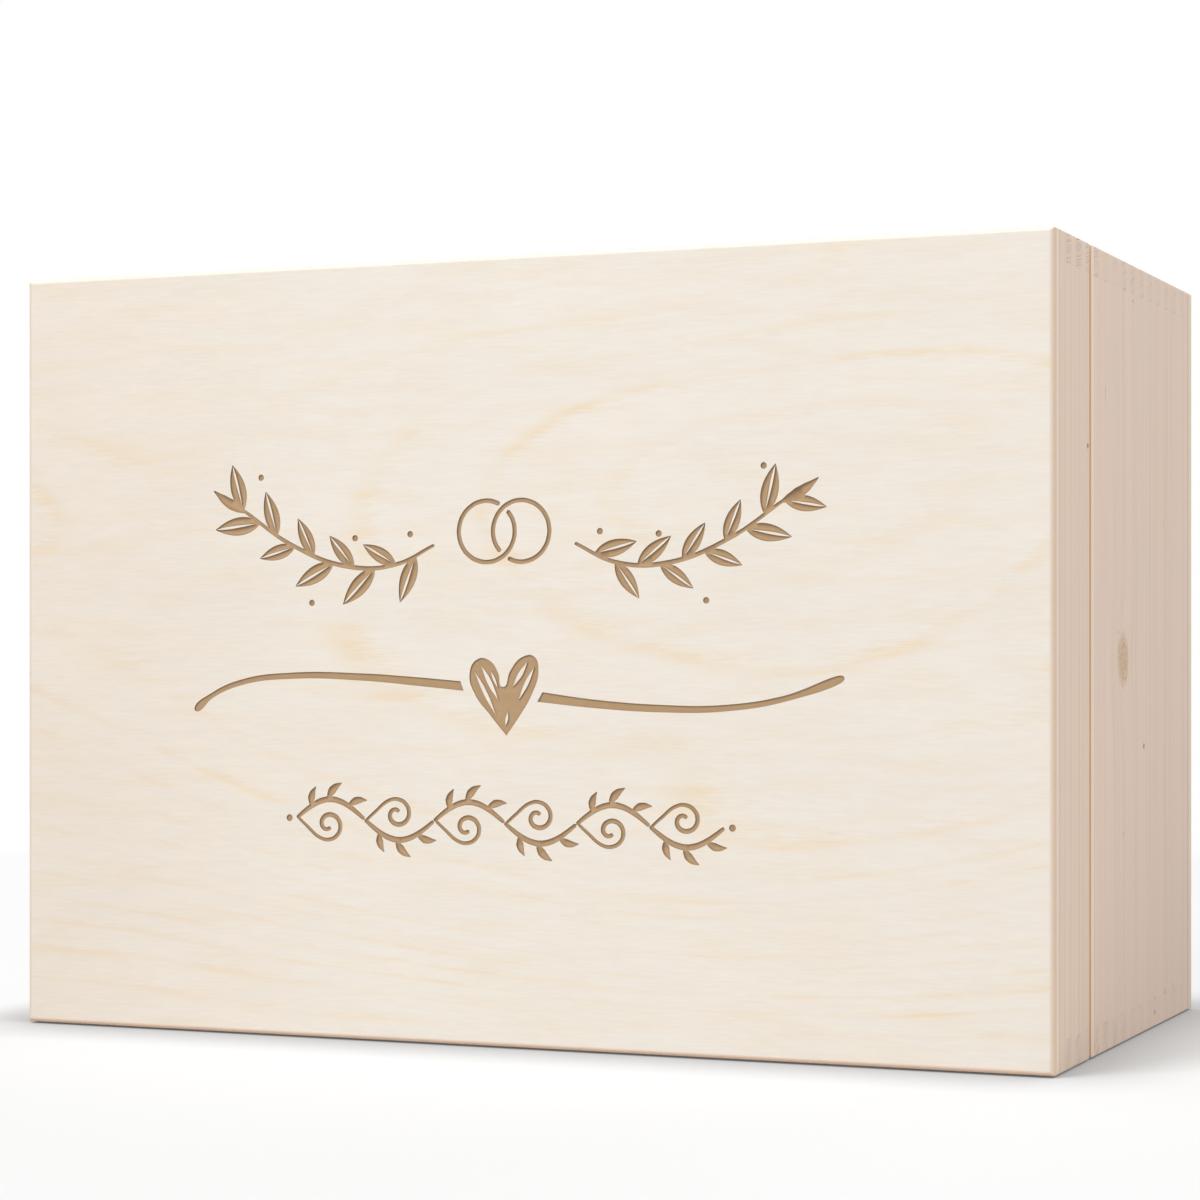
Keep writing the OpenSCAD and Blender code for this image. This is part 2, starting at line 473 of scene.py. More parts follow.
        # On the sawn rim itself the wood shows unevenly through the painted gap shade
        on_rim = normal.facing(ALONG_Y).eased(0.8, 0.97)
        marks = place.noise((14.0 * MM,) * 3, 3.0, self.seed + 31.0)
        bare = marks.eased(0.35, 0.65).scaled(-0.35, 0.85)
        return (brown * (1.0 - on_rim * bare)).blend(rim_highlight.blend(wood, self.rim_highlight_colour), self.gap_shade_colour)

    def with_knot(self, board: Output, knot: Knot, wood: Output) -> Output:
        """Colour of the wood with a knot in it: reddish brown, ringed and uneven at its edge."""
        ragged = board.noise((5.0, 2.2, 2.2), 3.0, self.seed + 23.0)
        away = ragged.scaled(0.9, spot(board, knot) - 0.45)
        speckle = board.noise((1.1, 1.4, 1.4), 2.0, self.seed + 29.0)
        uneven = (away * 17.0).maths("SINE").scaled(0.25, speckle.eased(0.38, 0.62) * 0.85)
        share = away.eased(1.2, 0.55) * (0.85 * knot.strength)
        return share.blend(wood, uneven.blend(*self.knot_wood))

    def end_colour(self, board: Output, late: Output) -> Output:
        """Colour of end grain: the dark lines of the late wood in a slightly greyer wood."""
        pores = board.noise((1.2, 1.2, 1.2), 2.0, self.seed + 5.0)
        patches = board.noise((40.0, 26.0, 26.0), 1.0, self.seed + 6.0)
        nearer = board.parts()[1].eased(40.0, -45.0).scaled(0.8, 0.25)
        worn = patches.eased(0.25, 0.52) * pores.eased(0.25, 0.6) * nearer
        shown = (late * worn).maths("MULTIPLY", self.end_strength, clamp=True)
        return shown.blend(self.end_early, self.end_late)


@dataclass(frozen=True)
class FigureHill:
    """A swelling in the log under a peeled veneer, which bends the rings' lines round it."""

    x: float
    z: float
    length: float
    height: float
    rings: float
    lean: float = 0.0


@dataclass(frozen=True)
class Plywood(Finish):
    """Three-ply poplar or basswood plywood, sanded, raw.

    The outer plies' fibres run along X and the core's along Z. The face shows the wandering
    lines of a peeled veneer, low in contrast, with fine fibres, and the edges show the plies
    with a thin line of glue at each joint.
    """

    # Y of the face in millimetres, and 1 where the panel lies behind it or -1 where before it
    face: float = -95.0
    inward: float = 1.0
    face_ply: float = 2.4
    back_ply_start: float = 5.1
    thickness: float = 7.5
    clear_wood: str = "#f4ece1"
    line_wood: str = "#f2dcb9"
    left_shade_tint: str = "#fbf8f5"
    core_wood: str = "#fae5d5"
    end_wood: str = "#ecd3ba"
    # Colours at the face's edges: painted shade along the foot and on edges that face down, and a darker
    # band at the left and right
    foot_shade_wood: str = "#f2d3b9"
    rim_wood: str = "#ead6c2"
    half_length: float = 175.0
    glue_line: str = "#c9ab92"
    hills: tuple[FigureHill, ...] = ()
    start: float = -10.7
    slope: Place = (-0.0055, 0.0362)
    wander: float = 0.7
    seed: float = 0.0

    def shader(self, tree: Tree) -> Output:
        """Build the plywood's nodes and return its surface shader."""
        _, normal, panel = pattern_place(tree)
        x, y, z = panel.parts()
        depth = (y - self.face) * self.inward
        core = depth.maths("GREATER_THAN", self.face_ply) * depth.maths("LESS_THAN", self.back_ply_start)
        fibres = panel.noise((7.0, 3.0, 0.6), 3.0, self.seed + 1.0)
        veneer = self.veneer_colour(panel, fibres)
        # Darker band along the face's left and right edges, and painted shade along its foot
        for off, wood in ((self.half_length - abs(x), self.rim_wood), (z, self.foot_shade_wood)):
            veneer = (off.eased(1.7, 1.1) * 0.75).blend(veneer, wood)
        edge_share = normal.facing(ALONG_Y).eased(0.93, 0.58)
        colour = edge_share.blend(veneer, self.edge_colour(panel, normal, core, depth))
        look = {"Roughness": fibres.scaled(0.14, 0.54), "Specular IOR Level": 0.3}
        return solid(colour, fibres, 0.3, 0.04 * MM, look)

    def figure(self, panel: Output) -> Output:
        """Count of growth rings crossed from the panel's foot: a tilted plane with hills on it."""
        slope_x, slope_z = self.slope
        count = panel.vector("DOT_PRODUCT", (slope_x, 0.0, slope_z)) + self.start
        for hill in self.hills:
            centred = panel.vector("SUBTRACT", (hill.x, 0.0, hill.z))
            inputs = {"Vector": centred, "Rotation": Euler((0.0, hill.lean, 0.0))}
            turned = step(panel.tree, "ShaderNodeMapping", inputs=inputs)
            local = turned.vector("MULTIPLY", (2 / hill.length, 0.0, 2 / hill.height))
            count = local.vector("DOT_PRODUCT", local).bell().scaled(hill.rings, count)
        return panel.noise((95.0, 30.0, 34.0), 2.0, self.seed).scaled(self.wander, count)

    def veneer_colour(self, panel: Output, fibres: Output) -> Output:
        """Colour of the peeled face. The fibres are fine dashes along X."""
        x, _, z = panel.parts()
        # Rings lie closer near the foot, so there a line takes a greater share of its ring
        half_line = z.eased(95.0, 45.0).scaled(0.01, 0.09)
        feather = self.figure(panel) + (fibres - 0.5) * (half_line * 3.8)
        ring = feather.maths("ROUND")
        off = (feather - ring) / half_line
        chance = ring.lot()
        wisps = panel.noise((38.0, 30.0, 5.0), 2.0, self.seed + 13.0)
        patches = panel.noise((60.0, 30.0, 22.0), 2.0, self.seed + 9.0)
        come_and_go = wisps.eased(0.35, 0.65).scaled(0.65, 0.5)
        strength = (chance * chance).scaled(0.35, 0.26) * come_and_go * patches.eased(0.28, 0.66)
        # Between the lines lie faint tan wisps
        faint = wisps.eased(0.42, 0.72) * 0.22
        share = (off * off).bell().maths("MULTIPLY_ADD", strength, faint, clamp=True)
        # Painted shade: the face turns darker and warmer towards its left
        left_shade = patches.scaled(60.0, x).eased(-5.0, -135.0).blend(WHITE, self.left_shade_tint)
        wood = share.blend(self.clear_wood, self.line_wood).vector("MULTIPLY", left_shade)
        return wood.shaded(fibres.scaled(0.13, 0.935) * patches.scaled(0.05, 0.975))

    def edge_colour(self, panel: Output, normal: Output, core: Output, depth: Output) -> Output:
        """Colour of the panel's edges, ply by ply.

        Args:
            panel: Place on the panel in millimetres.
            normal: The face's normal.
            core: 1 in the core and 0 in the outer plies.
            depth: Depth behind the panel's face in millimetres.

        Returns:
            The output that holds the colour.
        """
        # The core's end grain shows where the outer plies' doesn't
        end_grain = abs(normal.facing(ALONG_X).eased(0.4, 0.6) - core)
        # Painted shade on edges that face down
        down_shade = normal.vector("DOT_PRODUCT", ALONG_Z).eased(-0.2, -0.6)
        wood = down_shade.blend(end_grain.blend(self.core_wood, self.end_wood), self.foot_shade_wood)
        streaks = panel.noise((9.0, 0.35, 9.0), 3.0, self.seed + 15.0)
        speckle = panel.noise((0.5, 0.35, 0.5), 2.0, self.seed + 17.0)
        colour = wood.shaded((streaks + speckle).scaled(0.1, 0.9))
        for joint, strength in ((self.face_ply, 0.1), (self.back_ply_start, 0.15), (self.thickness, 0.5)):
            colour = (abs(depth - joint).eased(0.4, 0.15) * strength).blend(colour, self.glue_line)
        return colour


@dataclass(frozen=True)
class LaserCharredWood(Finish):
    """Veneer burned away by a laser.

    The eye sees an even tan floor, faintly lined along X by the laser's passes and by the
    fibres that burn more slowly, and darker, scorched walls. The passes are really 0.1 mm
    apart, and are drawn 0.35 mm apart, so that they show.
    """

    floor_colour: str = "#c3a480"
    fibre_colour: str = "#b08e68"
    wall_colour: str = "#9d7c58"

    def shader(self, tree: Tree) -> Output:
        """Build the charred wood's nodes and return its surface shader."""
        _, normal, panel = pattern_place(tree)
        fibres = panel.noise((5.0, 5.0, 0.35), 2.0, 2.0)
        soot = panel.noise((7.0, 7.0, 4.0), 2.0, 4.0)
        share = fibres.maths("MULTIPLY_ADD", 0.7, soot.scaled(0.6, -0.4), clamp=True)
        floor = share.blend(self.floor_colour, self.fibre_colour)
        colour = normal.facing(ALONG_Y).eased(0.95, 0.6).blend(floor, self.wall_colour)
        return solid(colour, fibres, 0.4, 0.05 * MM, {"Roughness": 0.8, "Specular IOR Level": 0.15})


@dataclass(frozen=True)
class SatinBrass(Finish):
    """Rolled brass sheet and turned brass, brushed and lacquered.

    The eye sees a warm yellow metal with soft reflections, fine lines along X from the
    brush, and a few duller, browner patches from handling.
    """

    metal: str = "#d8b46a"
    dull_metal: str = "#b28a45"
    brushing: float = 1.0
    seed: float = 0.0

    def shader(self, tree: Tree) -> Output:
        """Build the brass's nodes and return its surface shader."""
        _, _, part = pattern_place(tree)
        lines = part.noise((9.0, 0.12, 0.12), 3.0, self.seed)
        dull = part.noise((6.0, 4.0, 4.0), 3.0, self.seed + 2.0).eased(0.5, 0.78)
        colour = (dull * 0.55).blend(self.metal, self.dull_metal)
        look = {"Metallic": 1.0, "Roughness": dull.scaled(0.14, lines.scaled(0.16, 0.2))}
        return solid(colour, lines, 0.3 * self.brushing, 0.02 * MM, look)


@dataclass(frozen=True)
class StudioFloor(Finish):
    """Pale grey paper floor that fades into the white backdrop.

    Light bounces off it as off matt grey paper. The camera, reflections and glass see it
    as white, apart from the object's shadow, which is partly lit for real and partly a painted
    shade from ambient occlusion, darkest where the object is near. Behind the box and at its
    left, painted light brightens it over the shadow.
    """

    paper: str = "#cfcfcf"
    lift: float = 0.81
    glow: float = 0.4
    near_shade: float = 40.0 * MM
    fade_start: float = 0.5
    fade_end: float = 1.0
    # Y where painted light brightens the floor behind the box over its shadow, and X where it does so at
    # its left
    behind: Place = (0.1, 0.16)
    at_left: Place = (-0.18, -0.215)

    def shader(self, tree: Tree) -> Output:
        """Build the floor's nodes and return its surface shader."""
        place = Output(add_node(tree, "ShaderNodeTexCoord").outputs["Object"])
        x, y, _ = place.parts()
        far = place.vector("LENGTH").eased(self.fade_start, self.fade_end)
        # Painted light: the floor behind the box and at its left is brightened towards white, over the
        # box's shadow there
        for axis, (near, end), most in ((y, self.behind, 0.7), (x, self.at_left, 0.85)):
            far = far.maths("MAXIMUM", axis.eased(near, end) * most)
        # Painted shade: ambient occlusion darkens the floor's colour near the box
        around = add_node(tree, "ShaderNodeAmbientOcclusion", inputs={"Distance": self.near_shade})
        contact_shade = Output(around.outputs["AO"]).scaled(0.75, 0.25)
        paper = step(tree, "ShaderNodeBsdfDiffuse", inputs={"Color": linear(self.paper)})
        lifted = step(tree, "ShaderNodeBsdfDiffuse", inputs={"Color": contact_shade * self.lift})
        white = step(tree, "ShaderNodeEmission", inputs={"Color": contact_shade, "Strength": 1.0})
        shown = far.scaled(1.0 - self.glow, self.glow).mix_surfaces(lifted, white)
        return seen_directly(tree).mix_surfaces(paper, shown)


def seen_directly(tree: Tree) -> Output:
    """1 for a ray of the camera, of a reflection or of glass, and 0 for one that only lights."""
    path = add_node(tree, "ShaderNodeLightPath").outputs
    mirrored_ray = Output(path["Is Camera Ray"]).maths("MAXIMUM", Output(path["Is Glossy Ray"]))
    return mirrored_ray.maths("MAXIMUM", Output(path["Is Transmission Ray"]))


# ---- Pieces ----


def plain_object(name: str, data: bpy.types.ID) -> bpy.types.Object:
    """Put a mesh or curve into the scene as an object at the origin."""
    made = bpy.data.objects.new(name, data)
    bpy.context.scene.collection.objects.link(made)
    return made


def evaluated_mesh(source: bpy.types.Object) -> bpy.types.Mesh:
    """Turn an object and its modifiers, which are left as they are, into a plain mesh."""
    graph = bpy.context.evaluated_depsgraph_get()
    shown = source.evaluated_get(graph)
    return bpy.data.meshes.new_from_object(shown, preserve_all_data_layers=True, depsgraph=graph)


def settle(source: bpy.types.Object) -> None:
    """Replace an object's mesh by what its modifiers make of it, and remove them."""
    name = source.data.name
    mesh = evaluated_mesh(source)
    source.modifiers.clear()
    source.data = mesh
    mesh.name = name


def clean_copy(node: str) -> bmesh.types.BMesh:
    """Copy a frame node's mesh with its loose triangles merged into whole flat faces."""
    mesh = bmesh.new()
    mesh.from_mesh(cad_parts[node].data)
    bmesh.ops.remove_doubles(mesh, verts=mesh.verts, dist=0.0005 * MM)
    flat = math.radians(0.4)
    bmesh.ops.dissolve_limit(mesh, angle_limit=flat, verts=mesh.verts, edges=mesh.edges)
    mesh.normal_update()
    return mesh


def rounded(mesh: bmesh.types.BMesh, name: str, width: float, settings: Settings) -> bpy.types.Object:
    """Make an object of an edited mesh, and round its edges.

    Args:
        mesh: The mesh, which is freed.
        name: Name of the object.
        width: Width of the rounding, in metres.
        settings: Further settings of the bevel.

    Returns:
        The object, with a plain mesh.
    """
    made = bpy.data.meshes.new(name)
    mesh.to_mesh(made)
    mesh.free()
    piece = plain_object(name, made)
    bevel = piece.modifiers.new("rounded_edges", "BEVEL")
    for key, value in {"width": width, "segments": 2, **settings}.items():
        setattr(bevel, key, value)
    settle(piece)
    return piece


def dress(piece: bpy.types.Object, finish: Finish) -> None:
    """Give a piece a finish in place of what it wears."""
    piece.data.materials.clear()
    piece.data.materials.append(finish.material())


def take_place(piece: bpy.types.Object, node: str, body: Body, slot: Slot) -> None:
    """Let a piece stand for a frame node and ride on its body.

    Args:
        piece: The finished piece.
        node: Name of the frame node that it stands for.
        body: Body that it rides on.
        slot: Record slot that its finish belongs to; it is not used.
    """
    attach(piece, body.value)
    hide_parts(node)
    log.info("%s stands for %s on %s, %d faces", piece.name, node, body.value, len(piece.data.polygons))


@dataclass
class Arris:
    """How far sandpaper eases the edges of the wood, in metres."""

    corner: float = 0.5 * MM
    joint: float = 0.12 * MM
    # Edges of a chamfer, which turn a board's face by about 45 degrees
    chamfer: float = 0.12 * MM
    shortest: float = 2.2 * MM
    sharp: float = math.radians(25)
    blunt: float = math.radians(50)

    def weigh(self, mesh: bmesh.types.BMesh, low: Vector, high: Vector) -> None:
        """Give each edge its share of the bevel.

        The box's own long corners are eased most, the rims less, and the edges of the
        fingers and of the boards' joints least. Hollow corners and screw holes stay sharp.

        Args:
            mesh: The merged board.
            low: Lowest corner of the whole box of boards.
            high: Highest corner of the whole box of boards.
        """
        weight = mesh.edges.layers.float.new("bevel_weight_edge")
        for edge in mesh.edges:
            edge[weight] = self.reach(edge, low, high) / self.corner

    def reach(self, edge: bmesh.types.BMEdge, low: Vector, high: Vector) -> float:
        """Width of the bevel on one edge, in metres."""
        if len(edge.link_faces) != 2 or not edge.is_convex:
            return 0.0
        if edge.calc_face_angle(0.0) < self.sharp or edge.calc_length() < self.shortest:
            return 0.0
        ends = [vert.co for vert in edge.verts]
        near = 0.01 * MM
        at_side = all(min(abs(end.x - low.x), abs(end.x - high.x)) < near for end in ends)
        at_level = all(min(abs(end.z - low.z), abs(end.z - high.z)) < near for end in ends)
        if at_side and at_level:
            return self.corner
        return self.chamfer if edge.calc_face_angle(0.0) < self.blunt else self.joint


@dataclass
class Board:
    """One board or panel, copied from its frame node with eased arrises."""

    node: str
    body: Body
    slot: Slot
    finish: Finish
    arris: Arris = field(default_factory=Arris)

    def shape(self) -> bpy.types.Object:
        """Build the board's object, dressed but not yet riding."""
        mesh = clean_copy(self.node)
        self.arris.weigh(mesh, *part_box("lid_panel"))
        by_weight = {"limit_method": "WEIGHT", "use_clamp_overlap": False}
        piece = rounded(mesh, self.node + "_eased", self.arris.corner, by_weight)
        dress(piece, self.finish)
        return piece

    def build(self) -> None:
        """Build the board and put it in its node's place."""
        take_place(self.shape(), self.node, self.body, self.slot)


# ---- Engraving ----


@dataclass(frozen=True)
class Stroke:
    """A stroke of the engraving: points on the lid's face in millimetres, each with a width.

    In a closed outline a width of 0 marks a sharp corner.
    """

    points: tuple[Point, ...]
    closed: bool = False

    def mirrored(self, middle: float) -> "Stroke":
        """Return the stroke mirrored about an upright line at X = middle, in millimetres."""
        return Stroke(tuple((2 * middle - x, z, width) for x, z, width in self.points), self.closed)


def leaf(x: float, z: float, angle: float, length: float, width: float, bend: float = 0.12) -> Stroke:
    """A solid leaf as one stroke that swells and narrows.

    Args:
        x: X of its foot in millimetres.
        z: Z of its foot in millimetres.
        angle: Direction that it points in, in degrees from +X.
        length: Length in millimetres.
        width: Greatest width in millimetres.
        bend: How far it bows sideways, as a share of its length.

    Returns:
        The leaf's stroke.
    """
    way = math.radians(angle)
    points = []
    for share, swell in ((0.0, 0.22), (0.2, 0.72), (0.42, 1.0), (0.66, 0.8), (0.86, 0.38), (1.0, 0.08)):
        forward = length * share
        aside = bend * length * math.sin(HALF_TURN * share)
        across = x + forward * math.cos(way) - aside * math.sin(way)
        up = z + forward * math.sin(way) + aside * math.cos(way)
        points.append((across, up, width * swell))
    return Stroke(tuple(points))


def sliver(start: Place, end: Place, width: float) -> Stroke:
    """A slender closed outline between two points, in millimetres."""
    (x0, z0), (x1, z1) = start, end
    length = math.hypot(x1 - x0, z1 - z0)
    aside_x, aside_z = -(z1 - z0) / length * width / 2, (x1 - x0) / length * width / 2
    middle_x, middle_z = (x0 + x1) / 2, (z0 + z1) / 2
    one = (middle_x + aside_x, middle_z + aside_z, 1.0)
    other = (middle_x - aside_x, middle_z - aside_z, 1.0)
    tip = 1.0 if width > 0.6 * length else 0.0
    return Stroke(((x0, z0, tip), one, (x1, z1, tip), other), closed=True)


def ribbon(line: Sequence[Point], slant: float) -> Stroke:
    """Outline of a stroke that is cut off square at its last point and rounded at its first.

    Args:
        line: Points along its middle in millimetres, each with the ribbon's width there.
        slant: How far the lower corner of the cut end stands out past the middle.

    Returns:
        The closed outline.
    """
    upper, lower = [], []
    for index, (x, z, width) in enumerate(line):
        before, after = line[max(index - 1, 0)], line[min(index + 1, len(line) - 1)]
        way = math.atan2(after[1] - before[1], after[0] - before[0])
        aside_x, aside_z = -math.sin(way) * width / 2, math.cos(way) * width / 2
        if aside_z < 0.0:
            aside_x, aside_z = -aside_x, -aside_z
        last = index == len(line) - 1
        shift = math.copysign(slant, after[0] - before[0]) if last else 0.0
        corner = 0.0 if last else 1.0
        upper.append((x + aside_x - shift, z + aside_z, corner))
        lower.append((x - aside_x + shift, z - aside_z, corner))
    return Stroke((*upper, *reversed(lower)), closed=True)


def drawn(name: str, strokes: Sequence[Stroke]) -> bpy.types.Object:
    """Draw strokes as smooth curves in the XY plane, with X and Z of the face as X and Y."""
    curve = bpy.data.curves.new(name, "CURVE")
    curve.dimensions = "3D"
    curve.twist_mode = "Z_UP"
    curve.resolution_u = 12
    for stroke in strokes:
        line = curve.splines.new("BEZIER")
        line.use_cyclic_u = stroke.closed
        line.bezier_points.add(len(stroke.points) - 1)
        for point, (x, z, width) in zip(line.bezier_points, stroke.points):
            point.co = (x * MM, z * MM, 0.0)
            point.radius = width / 2
            handle = "VECTOR" if stroke.closed and width == 0.0 else "AUTO"
            point.handle_left_type = point.handle_right_type = handle
    return plain_object(name, curve)


def joined(*parts: Output) -> Output:
    """Join geometries into one."""
    tree = parts[0].tree
    node = add_node(tree, "GeometryNodeJoinGeometry")
    for part in parts:
        tree.links.new(part.socket, node.inputs[0])
    return Output(node.outputs[0])


class CarvingTree:
    """A Geometry Nodes tree that turns drawn curves into solids that cut the engraving."""

    def __init__(self, name: str, inputs: Mapping[str, float]) -> None:
        """Start the tree.

        Args:
            name: Name of the tree.
            inputs: Each input's name with its default, which is whole for a count.
        """
        self.tree = bpy.data.node_groups.new(name, "GeometryNodeTree")
        panel = self.tree.interface
        panel.new_socket("Curves", in_out="INPUT", socket_type="NodeSocketGeometry")
        for label, default in inputs.items():
            kind = "NodeSocketInt" if isinstance(default, int) else "NodeSocketFloat"
            panel.new_socket(label, in_out="INPUT", socket_type=kind).default_value = default
        panel.new_socket("Material", in_out="INPUT", socket_type="NodeSocketMaterial")
        panel.new_socket("Cutters", in_out="OUTPUT", socket_type="NodeSocketGeometry")
        self.entry = self.tree.nodes.new("NodeGroupInput")

    def given(self, label: str) -> Output:
        """Return the tree's input of that name."""
        return Output(self.entry.outputs[label])

    def step(self, kind: str, inputs: Inputs | None = None, **settings: object) -> Output:
        """Add a geometry node and return its first output."""
        return step(self.tree, "GeometryNode" + kind, settings, inputs)

    def fine(self, curves: Output, spacing: float) -> Output:
        """Split curves into short straight steps."""
        return self.step("ResampleCurve", {"Curve": curves, "Length": spacing}, mode="LENGTH")

    def nib(self) -> Output:
        """Radius of a stroke as drawn, narrowed to nothing at its two ends, as a round nib would."""
        radius = self.step("InputRadius") * MM
        along = Output(add_node(self.tree, "GeometryNodeSplineParameter").outputs["Length"])
        whole = self.step("SplineLength")
        missing = 1.0 - along.maths("MINIMUM", whole - along).maths("DIVIDE", radius, clamp=True)
        half_chord = (1.0 - missing.maths("POWER", 2.0)).maths("SQRT")
        return radius * half_chord.maths("MAXIMUM", 0.06)

    def groove(self, curves: Output, radius: Output, above: float) -> Output:
        """Sweep a groove's section along curves that lie in the XY plane.

        Args:
            curves: The curves.
            radius: Half the groove's width at each point.
            above: How far the solids stand out of the face.

        Returns:
            The output that holds the solids.
        """
        sides = {"Height": 2.0, "Bottom Width": 1.72, "Top Width": 2.0, "Offset": 0.0}
        section = self.step("CurvePrimitiveQuadrilateral", sides, mode="TRAPEZOID")
        sweep = {"Curve": curves, "Profile Curve": section, "Scale": radius, "Fill Caps": True}
        swept = self.step("CurveToMesh", sweep)
        x, y, z = self.step("InputPosition").parts()
        depth = self.given("Depth")
        level = z.maths("GREATER_THAN", 0.0) * (depth + above) - depth
        snapped = combined(self.tree, x, y, level)
        return self.step("SetPosition", {"Geometry": swept, "Position": snapped})

    def finish(self, geometry: Output) -> None:
        """End the tree with plain meshes, turned up into the face, in the material that it was given."""
        turned = self.step("Transform", {"Geometry": geometry, "Rotation": Euler((QUARTER_TURN, 0.0, 0.0))})
        real = self.step("RealizeInstances", {"Geometry": turned})
        dressed = self.step("SetMaterial", {"Geometry": real, "Material": self.given("Material")})
        add_node(self.tree, "NodeGroupOutput", inputs={0: dressed})

    def run(self, source: bpy.types.Object, values: Settings) -> bpy.types.Object:
        """Carve from a drawing and return the cutters as a plain mesh object.

        Args:
            source: Curve object that is read and then removed.
            values: Value of each named input.

        Returns:
            The cutters' object.
        """
        modifier = source.modifiers.new(self.tree.name, "NODES")
        modifier.node_group = self.tree
        for item in self.tree.interface.items_tree:
            if item.item_type == "SOCKET" and item.in_out == "INPUT" and item.name in values:
                modifier[item.identifier] = values[item.name]
        mesh = evaluated_mesh(source)
        name = source.name + "_cutters"
        bpy.data.objects.remove(source)
        return plain_object(name, mesh)


@dataclass
class Engraving:
    """The engraving on the lid: two leafy sprigs, a pair of rings, a heart between two
    swashes, and a border of running vine. Its places and widths are in millimetres."""

    depth: float = 0.4 * MM
    above: float = 1.0 * MM
    middle: float = -0.5
    spacing: float = 0.35 * MM
    finish: LaserCharredWood = LaserCharredWood("laser_charred_veneer")

    # Sprigs, with the leaves' sizes in metres and the slimness as a share of a leaf's length
    leaf_length: float = 15.5 * MM
    leaf_spacing: float = 7.4 * MM
    leaf_slimness: float = 0.078
    leaf_angle: float = math.radians(42)
    stem: tuple[Point, ...] = (
        (-24.5, 157.0, 1.1), (-38.0, 151.0, 1.4), (-55.0, 150.5, 1.6), (-75.0, 157.5, 1.4),
        (-93.0, 169.0, 1.1),
    )
    berry_places: tuple[Place, ...] = ((-33.0, 160.5), (-52.5, 159.5), (-68.0, 139.0), (-86.5, 179.5))

    # Rings
    ring_radius: float = 9.6
    ring_offset: float = 5.9
    ring_height: float = 161.0
    ring_width: float = 1.5
    ring_steps: int = 16

    # Swashes, from their tips to the heart
    left_swash: tuple[Point, ...] = (
        (-110.8, 104.4, 1.2), (-104.5, 109.2, 1.6), (-93.0, 113.6, 1.8), (-76.0, 115.6, 2.0),
        (-50.0, 115.3, 2.3), (-30.0, 113.9, 2.7), (-14.9, 112.6, 3.0),
    )
    right_swash: tuple[Point, ...] = (
        (110.8, 115.6, 1.2), (92.0, 109.2, 1.8), (72.0, 106.2, 2.0), (52.0, 106.0, 2.3),
        (30.0, 107.3, 2.6), (11.8, 109.3, 3.0),
    )

    # Heart: its sharp foot, its outline from there, and the slivers that are left standing in it
    heart_foot: Place = (0.4, 97.2)
    heart_outline: tuple[Place, ...] = (
        (-5.2, 103.6), (-10.4, 110.0), (-12.3, 116.2), (-9.8, 120.9), (-5.6, 120.7), (-2.4, 116.6),
        (-0.9, 112.4), (1.6, 117.2), (5.6, 121.6), (9.8, 121.9), (11.3, 117.4), (9.2, 110.4), (4.8, 103.2),
    )
    heart_slivers: tuple[tuple[Place, Place, float], ...] = (
        ((-10.6, 117.4), (-3.2, 103.6), 1.3), ((-8.3, 119.2), (-2.4, 108.2), 1.5),
        ((-5.0, 117.4), (-2.6, 112.0), 0.8), ((9.9, 118.6), (4.6, 108.4), 1.3),
        ((7.6, 120.2), (2.6, 112.4), 1.4), ((0.9, 104.6), (0.1, 100.2), 0.9),
    )

    # Border of running vine
    border_start: Place = (-73.5, 70.0)
    border_pitch: float = 24.4
    border_bays: int = 6
    border_rise: float = 6.2
    stem_steps: int = 8
    tendril_steps: int = 12
    tendril_turns: float = 1.2

    def both(self, strokes: Sequence[Stroke]) -> list[Stroke]:
        """Strokes on the left, followed by the same ones mirrored to the right."""
        return [*strokes, *(stroke.mirrored(self.middle) for stroke in strokes)]

    def rings(self) -> list[Stroke]:
        """Two rings that pass over and under each other, so that each has one gap."""
        strokes = []
        half_gap = math.radians(9.5)
        sweep = 2 * (HALF_TURN - half_gap)
        crossing = math.acos(self.ring_offset / self.ring_radius)
        for side, gap_at in ((-1, crossing), (1, HALF_TURN + crossing)):
            points = []
            for index in range(self.ring_steps + 1):
                angle = gap_at + half_gap + sweep * index / self.ring_steps
                x = self.middle + side * self.ring_offset + self.ring_radius * math.cos(angle)
                z = self.ring_height + self.ring_radius * math.sin(angle)
                points.append((x, z, self.ring_width))
            strokes.append(Stroke(tuple(points)))
        return strokes

    def berries(self) -> list[Stroke]:
        """Outlines of the berries among the leaves, and of the bead at each end of the vine."""
        dots = self.both([sliver((x - 1.0, z), (x + 1.0, z), 2.0) for x, z in self.berry_places])
        start_x, z = self.border_start
        end_x = start_x + self.border_pitch * self.border_bays
        return dots + [sliver((x - 1.1, z), (x + 1.1, z), 2.2) for x in (start_x - 2.6, end_x + 2.6)]

    def filled_outlines(self) -> list[Stroke]:
        """Outlines of the heart and its slivers, of the two swashes, and of the berries."""
        sides = ((x, z, 1.0) for x, z in self.heart_outline)
        outline = Stroke(((*self.heart_foot, 0.0), *sides), closed=True)
        slivers = [sliver(*place) for place in self.heart_slivers]
        swashes = [ribbon(line, 0.7) for line in (self.left_swash, self.right_swash)]
        return [outline, *slivers, *swashes, *self.berries()]

